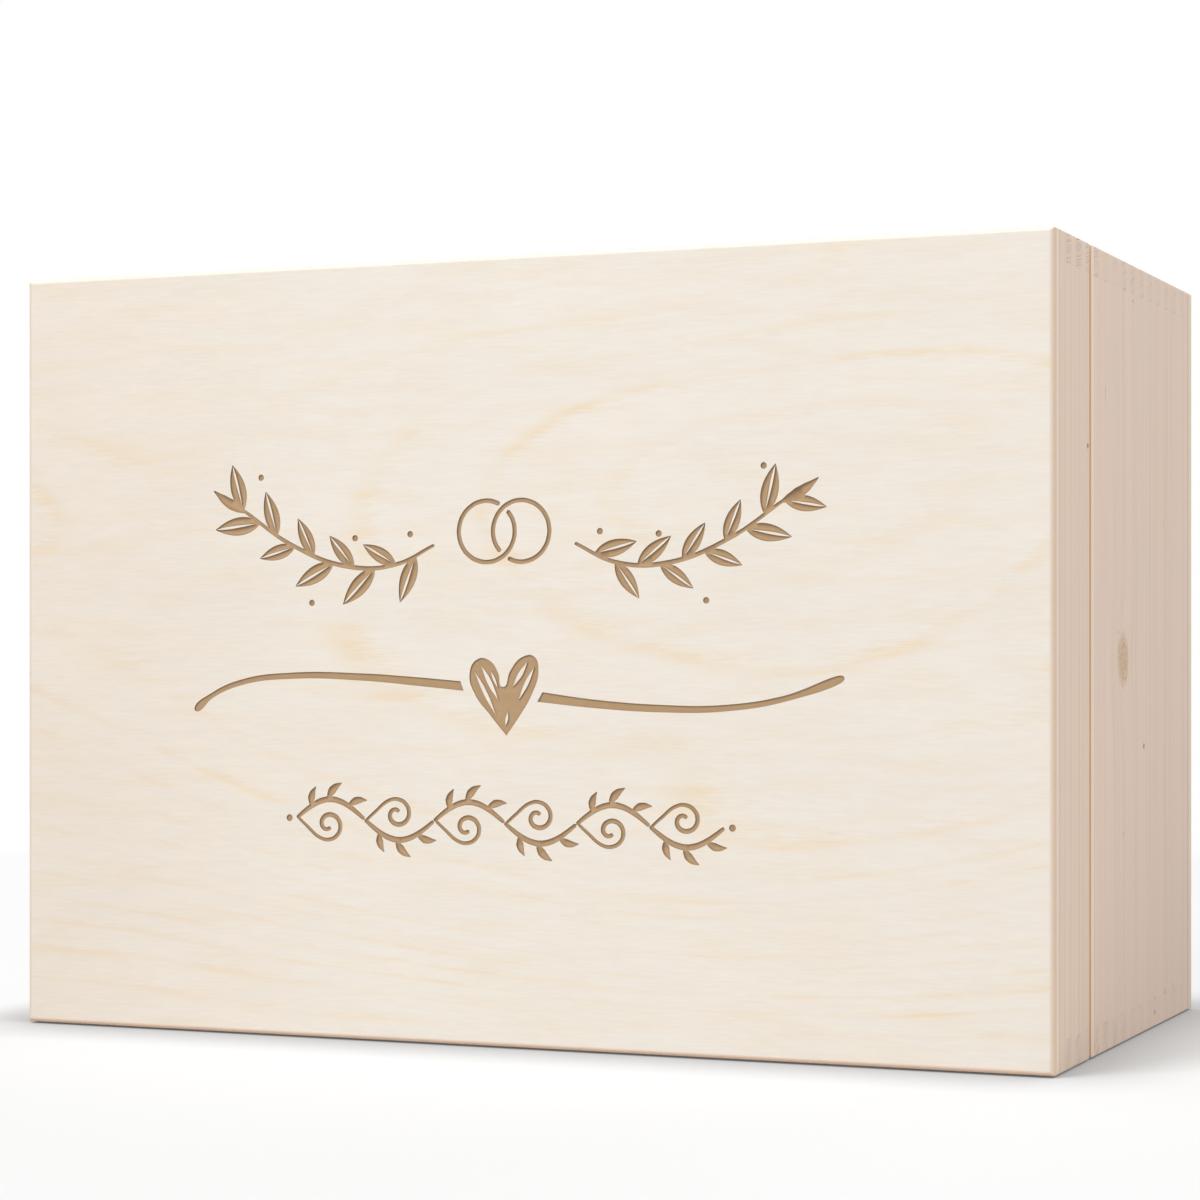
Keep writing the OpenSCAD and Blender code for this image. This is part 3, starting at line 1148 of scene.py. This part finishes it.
    def bay(self) -> list[Stroke]:
        """One bay of the vine: half a wave of its stem with leaves on it and a curled tendril."""
        pitch, rise = self.border_pitch, self.border_rise
        stem = []
        for index in range(self.stem_steps + 1):
            share = index / self.stem_steps
            swell = math.sin(HALF_TURN * share)
            stem.append((pitch * share, rise * swell, 1.25 + 0.75 * swell))
        tendril = [(0.6, 0.2, 1.0), (3.6, -2.4, 1.1)]
        for index in range(self.tendril_steps + 1):
            share = index / self.tendril_steps
            angle = math.radians(-118) + 2 * HALF_TURN * self.tendril_turns * share
            radius = 4.4 * (1 - share) ** 0.9 + 0.9
            width = 1.2 + 0.4 * math.sin(HALF_TURN * share) + (0.9 if index == self.tendril_steps else 0.0)
            x, z = pitch * 0.47 + radius * math.cos(angle), -1.9 + radius * math.sin(angle) * 0.95
            tendril.append((x, z, width))
        leaves = [
            leaf(pitch * 0.22, rise * 0.62, 76.0, 6.6, 2.6),
            leaf(pitch * 0.46, rise * 1.0, 46.0, 7.4, 2.8),
            leaf(pitch * 0.76, rise * 0.7, 14.0, 7.0, 2.6),
        ]
        return [Stroke(tuple(stem)), Stroke(tuple(tendril)), *leaves]

    def leaf_tree(self) -> CarvingTree:
        """Tree that carves stems and sets leaves along them, on alternate sides."""
        inputs = {
            "Depth": self.depth,
            "Leaf Length": self.leaf_length,
            "Leaf Spacing": self.leaf_spacing,
            "Leaf Slimness": self.leaf_slimness,
            "Leaf Angle": self.leaf_angle,
            "First Leaf": 0.1,
            "Seed": 4,
        }
        carving = CarvingTree("leafy_sprig", inputs)
        stems = carving.fine(carving.given("Curves"), self.spacing)
        stems = carving.step("SetCurveRadius", {"Curve": stems, "Radius": carving.nib()})
        both = joined(stems, self.leaves(carving))
        carving.finish(carving.groove(both, carving.step("InputRadius"), self.above))
        return carving

    def leaves(self, carving: CarvingTree) -> Output:
        """Leaves along the stems, with their radii: two halves each, and a sliver left between them."""
        tree, length = carving.tree, carving.given("Leaf Length")
        halves = []
        for side in (-1, 1):
            ends = {"Resolution": 18, "Start": (0.0, 0.0, 0.0), "End": combined(tree, length)}
            middle = combined(tree, length * 0.45, length * (side * 0.2))
            halves.append(carving.step("CurveQuadraticBezier", {**ends, "Middle": middle}))
        stretch = {"Curve": carving.given("Curves"), "Start": carving.given("First Leaf"), "End": 1.0}
        bare = carving.step("TrimCurve", stretch, mode="FACTOR")
        spacing = {"Curve": bare, "Length": carving.given("Leaf Spacing")}
        spots = add_node(tree, "GeometryNodeCurveToPoints", {"mode": "LENGTH"}, spacing).outputs
        side = carving.step("InputIndex").maths("MODULO", 2.0).scaled(-2.0, 1.0)
        swing = combined(tree, 0.0, 0.0, side * carving.given("Leaf Angle"))
        axes = {"axis": "X", "pivot_axis": "Z"}
        along = step(tree, "FunctionNodeAlignRotationToVector", axes, {"Vector": Output(spots["Tangent"])})
        swung = {"Rotation": along, "Rotate By": swing}
        turned = step(tree, "FunctionNodeRotateRotation", {"rotation_space": "LOCAL"}, swung)
        sizes = {2: 0.82, 3: 1.08, "Seed": carving.given("Seed")}
        size = add_node(tree, "FunctionNodeRandomValue", {"data_type": "FLOAT"}, sizes).outputs[1]
        points = {"Points": Output(spots["Points"]), "Instance": joined(*halves)}
        placed = carving.step("InstanceOnPoints", {**points, "Rotation": turned, "Scale": Output(size)})
        real = carving.step("RealizeInstances", {"Geometry": placed})
        factor = carving.step("SplineParameter")
        swell = (factor.maths("POWER", 0.8) * HALF_TURN).maths("SINE")
        slim = carving.step("SplineLength") * carving.given("Leaf Slimness")
        return carving.step("SetCurveRadius", {"Curve": real, "Radius": swell.scaled(slim, 0.04 * MM)})

    def stroke_tree(self) -> CarvingTree:
        """Tree that carves strokes as they are drawn, once or in a row of bays.

        Every second bay is turned over, so that half a wave grows into a running one.
        """
        inputs = {"Depth": self.depth, "Bays": 1, "Bay Pitch": 0.0, "Start X": 0.0, "Start Z": 0.0}
        carving = CarvingTree("drawn_strokes", inputs)
        pitch = combined(carving.tree, carving.given("Bay Pitch"))
        start = combined(carving.tree, carving.given("Start X"), carving.given("Start Z"))
        line = {"Count": carving.given("Bays"), "Start Location": start, "Offset": pitch}
        row = carving.step("MeshLine", line)
        over = carving.step("InputIndex").maths("MODULO", 2.0) * HALF_TURN
        turn = combined(carving.tree, over)
        bays = {"Points": row, "Instance": carving.given("Curves"), "Rotation": turn}
        real = carving.step("RealizeInstances", {"Geometry": carving.step("InstanceOnPoints", bays)})
        carving.finish(carving.groove(carving.fine(real, self.spacing), carving.nib(), self.above))
        return carving

    def filled_tree(self) -> CarvingTree:
        """Tree that carves the area inside closed outlines, but not the outlines inside those."""
        carving = CarvingTree("filled_outline", {"Depth": self.depth})
        area = carving.step("FillCurve", {"Curve": carving.given("Curves")})
        depth = carving.given("Depth")
        down = combined(carving.tree, 0.0, 0.0, depth * -1.0)
        base = carving.step("SetPosition", {"Geometry": area, "Offset": down})
        lift = {"Mesh": base, "Offset Scale": depth + self.above, "Individual": False}
        raised = carving.step("ExtrudeMesh", lift, mode="FACES")
        closed = joined(raised, carving.step("FlipFaces", {"Mesh": base}))
        carving.finish(carving.step("MergeByDistance", {"Geometry": closed, "Distance": 0.001 * MM}))
        return carving

    def cutters(self, face_y: float) -> list[bpy.types.Object]:
        """Build every solid that the engraving takes out of the lid, whose face lies at a Y in metres."""
        char = {"Material": self.finish.material()}
        strokes = self.stroke_tree()
        start_x, start_z = self.border_start
        bays = {
            "Bays": self.border_bays,
            "Bay Pitch": self.border_pitch * MM,
            "Start X": start_x * MM,
            "Start Z": start_z * MM,
        }
        tips = self.both([leaf(-92.0, 168.4, 149.0, 14.0, 3.6, 0.04)])
        made = [
            self.leaf_tree().run(drawn("sprigs", self.both([Stroke(self.stem)])), char),
            strokes.run(drawn("rings_and_tips", self.rings() + tips), char),
            strokes.run(drawn("vine", self.bay()), {**char, **bays}),
            self.filled_tree().run(drawn("heart_and_swashes", self.filled_outlines()), char),
        ]
        for cutter in made:
            cutter.data.transform(Matrix.Translation((0.0, face_y, 0.0)))
            log.info("%s: %d faces", cutter.name, len(cutter.data.polygons))
        return made

    def carve(self, panel: bpy.types.Object) -> None:
        """Take the engraving out of the lid's panel, which is changed.

        Strokes that cross would leave their walls standing in each other if they were cut as
        one solid, so the tree parts the cutters into separate solids first.
        """
        cutters = self.cutters(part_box("lid_panel")[0].y)
        tree = bpy.data.node_groups.new("carve_face", "GeometryNodeTree")
        tree.interface.new_socket("Panel", in_out="INPUT", socket_type="NodeSocketGeometry")
        tree.interface.new_socket("Carved", in_out="OUTPUT", socket_type="NodeSocketGeometry")
        entry = tree.nodes.new("NodeGroupInput").outputs
        kind = {"operation": "DIFFERENCE", "solver": "MANIFOLD"}
        cut = add_node(tree, "GeometryNodeMeshBoolean", kind, {"Mesh 1": Output(entry[0])})
        for cutter in cutters:
            tree.interface.new_socket(cutter.name, in_out="INPUT", socket_type="NodeSocketObject")
            read = {"Object": Output(entry[cutter.name])}
            solids = add_node(tree, "GeometryNodeObjectInfo", inputs=read).outputs["Geometry"]
            island = add_node(tree, "GeometryNodeInputMeshIsland").outputs["Island Index"]
            groups = {"Geometry": Output(solids), "Group ID": Output(island)}
            parted = step(tree, "GeometryNodeSplitToInstances", {"domain": "POINT"}, groups)
            tree.links.new(parted.socket, cut.inputs["Mesh 2"])
        add_node(tree, "NodeGroupOutput", inputs={0: Output(cut.outputs[0])})
        modifier = panel.modifiers.new(tree.name, "NODES")
        modifier.node_group = tree
        for item in tree.interface.items_tree:
            if item.item_type == "SOCKET" and item.socket_type == "NodeSocketObject":
                modifier[item.identifier] = bpy.data.objects[item.name]
        settle(panel)
        for cutter in cutters:
            bpy.data.objects.remove(cutter)
        log.info("engraved %s: %d faces", panel.name, len(panel.data.polygons))


# ---- Sub-assemblies ----


@dataclass
class Carcass:
    """The boards of the lid and of the body, which were one carcass before the saw cut."""

    # Millimetres: the part of the saw cut that is closed up again, and Y of the two sawn rims
    closing_shift: float = 2.5
    lid_rim: float = -51.5
    body_rim: float = -50.8
    wall_knot: Knot = Knot(along=120.8, across=-6.0, length=17.5, width=15.4)
    wall_specks: tuple[Speck, ...] = (
        Speck(92.7, 23.1, 2.2, 2.0, 0.9, "#6b5242"),
        Speck(238.4, -29.6, 1.6, 2.0, 0.9, "#9a6a3c"),
        Speck(203.1, -29.6, 7.0, 0.9, 0.35),
        Speck(65.6, -5.1, 2.2, 1.4, 0.3),
        Speck(166.0, 52.9, 3.0, 1.2, 0.25),
        Speck(129.5, -12.5, 1.6, 1.6, 0.4, "#a08c7c"),
        Speck(137.0, -7.5, 12.0, 0.9, 0.2, "#a5917f"),
        Speck(238.0, -5.0, 1.5, 2.2, 0.4),
        Speck(235.5, 7.6, 1.3, 2.6, 0.35),
        Speck(238.2, 43.0, 1.8, 1.8, 0.35, "#857a78"),
        Speck(238.4, 69.0, 2.0, 2.6, 0.5, "#857a78"),
        Speck(4.6, 39.0, 1.6, 3.2, 0.45, "#7c665a"),
        Speck(9.4, 39.0, 1.4, 2.2, 0.3),
        Speck(9.8, 54.0, 2.4, 2.4, 0.3),
        Speck(10.4, 67.0, 2.6, 2.0, 0.2),
    )
    rail_specks: tuple[Speck, ...] = (Speck(185.6, -54.8, 1.9, 1.7, 1.0, "#4a3a30"),)
    lid_figure: tuple[FigureHill, ...] = (
        FigureHill(108.0, 149.0, 452.0, 334.0, 9.6, 0.16),
        FigureHill(-215.0, 146.0, 1200.0, 127.0, 3.6, -0.45),
        FigureHill(13.0, 17.0, 301.0, 63.0, -5.0, -0.04),
        FigureHill(260.0, 95.0, 716.0, 69.0, 3.4, 0.24),
        FigureHill(63.0, 244.0, 304.0, 82.0, -4.3),
        FigureHill(-195.0, 172.0, 110.0, 52.0, 1.4),
        FigureHill(0.0, -60.0, 2000.0, 150.0, -6.0),
    )
    engraving: Engraving = field(default_factory=Engraving)

    def timber(self, name: str, body: Body, grain: Grain, pith: Place, seed: float) -> PineTimber:
        """Pine of one board, cut from the same plank as the board beyond the saw cut.

        The body's pattern is slid by the closing shift, so that it runs on from the lid's.
        """
        on_lid = body is Body.LID
        slide, rim = (0.0, self.lid_rim) if on_lid else (self.closing_shift, self.body_rim)
        return PineTimber(name, grain, pith, slide, saw_cut=rim, seed=seed)

    def side_timber(self, name: str, body: Body, seed: float, **marks: tuple) -> PineTimber:
        """Pine of a side board: fibres upright, rings nearly square to the face."""
        timber = self.timber(name, body, Grain.UPRIGHT, (-330.0, 70.0), seed)
        if body is Body.BOX:
            # The body's boards carry the painted rim highlight and a wider painted gap shade
            return replace(timber, rim_highlight_share=0.85, gap_shade_width=1.0, **marks)
        return replace(timber, early_wood="#f2dcc9", late_wood="#e2c7ad", **marks)

    def long_timber(self, name: str, body: Body, seed: float, z: float) -> PineTimber:
        """Pine of a long board: fibres along X, cut flat, so that rings lie nearly along its face."""
        pith = (-140.0, z + 400.0) if z > 0.0 else (300.0, z - 400.0)
        timber = self.timber(name, body, Grain.LEVEL, pith, seed)
        # Painted shade: the long boards' wood is darker than the side boards', to offset the stronger light
        # on their tops
        timber = replace(timber, early_wood="#e8d1be", late_wood="#d8bda6", sway=3.0)
        return replace(timber, ring_spacing=1.8, end_strength=1.3 if z > 0.0 else 0.65)

    def boards(self) -> list[Board]:
        """Every board of the carcass apart from the engraved panel."""
        lid, box = Body.LID, Body.BOX
        wall_marks = {"knots": (self.wall_knot,), "specks": self.wall_specks}
        timbers = {
            "lid_rail_right": self.side_timber("pine_right_lid", lid, 2.0, specks=self.rail_specks),
            "right_wall": self.side_timber("pine_right_wall", box, 2.0, **wall_marks),
            "lid_rail_left": self.side_timber("pine_left_lid", lid, 13.0),
            "left_wall": self.side_timber("pine_left_wall", box, 13.0),
            "lid_rail_back": self.long_timber("pine_top_lid", lid, 5.0, 247.0),
            "back_wall": self.long_timber("pine_top_wall", box, 5.0, 247.0),
            "lid_rail_front": self.long_timber("pine_foot_lid", lid, 8.0, 0.0),
            "front_wall": self.long_timber("pine_foot_wall", box, 8.0, 0.0),
        }
        base = Plywood("plywood_base", face=95.0, inward=-1.0, hills=self.lid_figure[1:4], seed=41.0)
        sawn = [
            Board(node, lid if node.startswith("lid") else box, Slot.PINE, timber)
            for node, timber in timbers.items()
        ]
        return [*sawn, Board("base_panel", box, Slot.PLYWOOD, base)]

    def build(self) -> None:
        """Build the boards, and the lid's panel with its engraving."""
        for board in self.boards():
            board.build()
        plies = Plywood("plywood_lid", hills=self.lid_figure, seed=3.0)
        lid = Board("lid_panel", Body.LID, Slot.PLYWOOD, plies, Arris(chamfer=0.35 * MM))
        panel = lid.shape()
        self.engraving.carve(panel)
        take_place(panel, lid.node, lid.body, lid.slot)


@dataclass
class Hinges:
    """The two butt hinges with their pins and screws."""

    edge: float = 0.12 * MM
    smooth: float = math.radians(30)
    leaves: tuple[tuple[str, Body], ...] = (
        ("hinge_left_lid_leaf", Body.LID),
        ("hinge_right_lid_leaf", Body.LID),
        ("hinge_left_body_leaf", Body.BOX),
        ("hinge_right_body_leaf", Body.BOX),
    )
    small_parts: tuple[str, ...] = (
        "hinge_left_pin", "hinge_right_pin", "lid_hinge_screws", "body_hinge_screws",
    )
    sheet: SatinBrass = SatinBrass("satin_brass_sheet")
    turned: SatinBrass = SatinBrass("satin_brass_turned", metal="#cfa95c", brushing=0.5, seed=6.0)

    def build(self) -> None:
        """Build the leaves with rounded edges, and dress the pins and screws."""
        for node, body in self.leaves:
            by_angle = {"limit_method": "ANGLE", "angle_limit": self.smooth}
            piece = rounded(clean_copy(node), node + "_rounded", self.edge, by_angle)
            piece.data.shade_smooth()
            piece.data.set_sharp_from_angle(angle=self.smooth)
            dress(piece, self.sheet)
            take_place(piece, node, body, Slot.BRASS)
        for node in self.small_parts:
            dress(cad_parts[node], self.turned)
            log.info("%s keeps its frame shape", node)


# ---- Studio ----


@dataclass(frozen=True)
class Lamp:
    """A square soft lamp that points at the box: its place in metres, watts and side in metres."""

    name: str
    place: Point
    power: float
    size: float


@dataclass
class Studio:
    """A pale floor and backdrop, a softbox overhead, a key lamp, and weaker lamps right and behind."""

    floor_size: float = 12.0
    # The box touches the table only here and there, so a thin dark gap shows under its edges
    floor_drop: float = 0.55 * MM
    sky: float = 0.05
    lamps: tuple[Lamp, ...] = (
        Lamp("overhead_softbox", (0.0, -0.15, 2.2), 14.0, 1.2),
        Lamp("key_lamp", (-1.3, -2.2, 2.4), 88.0, 1.6),
        Lamp("right_lamp", (1.9, -0.6, 1.3), 23.0, 1.4),
        Lamp("back_lamp", (0.5, 1.7, 1.5), 7.0, 1.0),
    )
    target: Point = (0.0, 0.0, 0.12)
    camera_place: Point = (0.401, -0.976, 0.124)
    camera_heading: float = math.atan2(0.3863, 0.9224)
    focal_length: float = 93.04
    film_width: float = 36.0
    rise: float = 0.0414

    def hang(self, lamp: Lamp) -> None:
        """Hang a lamp that points at the box."""
        light = bpy.data.lights.new(lamp.name, "AREA")
        light.energy = lamp.power
        light.size = lamp.size
        holder = plain_object(lamp.name, light)
        holder.location = lamp.place
        way = Vector(self.target) - Vector(lamp.place)
        holder.rotation_euler = way.to_track_quat("-Z", "Y").to_euler()
        log.info("%s: %.1f W", lamp.name, lamp.power)

    def build_floor(self) -> None:
        """Lay the floor that the box stands on."""
        half, level = self.floor_size / 2, -self.floor_drop
        mesh = bpy.data.meshes.new("studio_floor")
        corners = [(-half, -half, level), (half, -half, level), (half, half, level), (-half, half, level)]
        mesh.from_pydata(corners, [], [(0, 1, 2, 3)])
        mesh.materials.append(StudioFloor("pale_paper_floor").material())
        plain_object("studio_floor", mesh)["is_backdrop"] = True

    def build_sky(self) -> None:
        """Light the scene evenly, and show white behind it."""
        world = bpy.data.worlds.new("white_studio")
        bpy.context.scene.world = world
        world.use_nodes = True
        tree = world.node_tree
        tree.nodes.clear()
        level, white = [
            step(tree, "ShaderNodeBackground", inputs={"Color": linear(WHITE), "Strength": strength})
            for strength in (self.sky, 1.0)
        ]
        shown = seen_directly(tree).mix_surfaces(level, white)
        add_node(tree, "ShaderNodeOutputWorld", inputs={"Surface": shown})

    def build_camera(self) -> None:
        """Set the camera at the viewpoint of a person a metre off, a little to the right."""
        data = bpy.data.cameras.new("camera")
        data.sensor_fit = "HORIZONTAL"
        data.sensor_width = self.film_width
        data.lens = self.focal_length
        data.shift_y = self.rise
        data.clip_start = 0.01
        holder = plain_object("camera", data)
        holder.location = self.camera_place
        holder.rotation_euler = (QUARTER_TURN, 0.0, self.camera_heading)
        bpy.context.scene.camera = holder

    def build(self) -> None:
        """Build the floor, the light and the camera."""
        bpy.context.scene.view_settings.view_transform = "Standard"
        self.build_floor()
        self.build_sky()
        for lamp in self.lamps:
            self.hang(lamp)
        self.build_camera()


def save_sizes(frame_box: tuple[Vector, Vector]) -> None:
    """Work out the frame's box, given by its lowest and highest corner, and the finished model's box."""
    found = {"frame": frame_box, "visual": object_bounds()}
    boxes = {name: [list(corner) for corner in box] for name, box in found.items()}


def main() -> None:
    """Build the box and its studio in order."""
    logging.basicConfig(level=logging.INFO, format="%(name)s: %(message)s")
    frame_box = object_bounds()
    Studio().build()
    Carcass().build()
    Hinges().build()
    save_sizes(frame_box)


if __name__ == "__main__":
    main()
